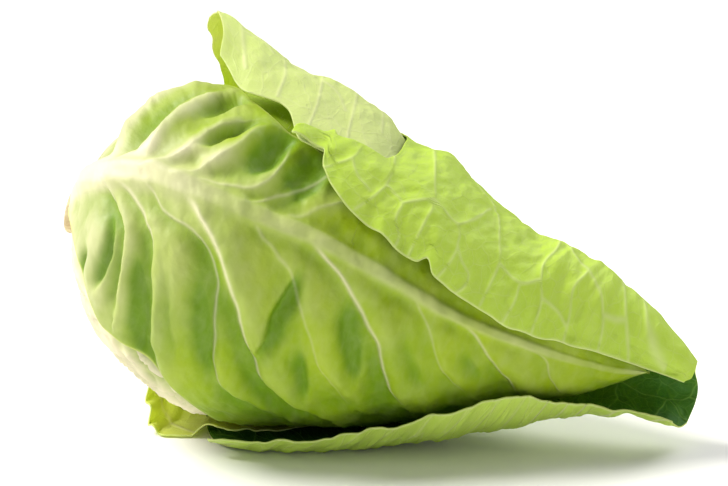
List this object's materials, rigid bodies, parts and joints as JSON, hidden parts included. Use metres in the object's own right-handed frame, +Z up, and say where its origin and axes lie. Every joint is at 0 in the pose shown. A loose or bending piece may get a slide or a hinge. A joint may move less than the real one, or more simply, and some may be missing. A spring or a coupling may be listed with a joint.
{
  "type": "pointed cabbage head",
  "caption": "Pointed cabbage lying on its side: a tight teardrop head of ribbed leaves with loose wrapper leaves folded over its top and tip, and a cut stem.",
  "frame": {"origin": "centre of the bounding box's bottom face, on the surface the cabbage rests on", "axes": "+X towards the pointed tip, -X towards the cut stem; +Z up; -Y faces the side with the front head leaf's midrib"},
  "size_m": [0.2598, 0.1404, 0.1704],
  "materials": {
    "stem_cut": "matte",
    "packed_leaves": "satin",
    "head_leaf": "satin",
    "wrapper_leaf": "satin"
  },
  "bodies": {
    "root": {"stem_stump": "stem_cut", "heart": "packed_leaves", "back_head_leaf": "head_leaf", "lower_head_leaf": "head_leaf", "front_head_leaf": "head_leaf", "lower_wrapper_leaf": "wrapper_leaf", "upper_wrapper_leaf": "wrapper_leaf", "hood_wrapper_leaf": "wrapper_leaf"}
  },
  "joints": []
}
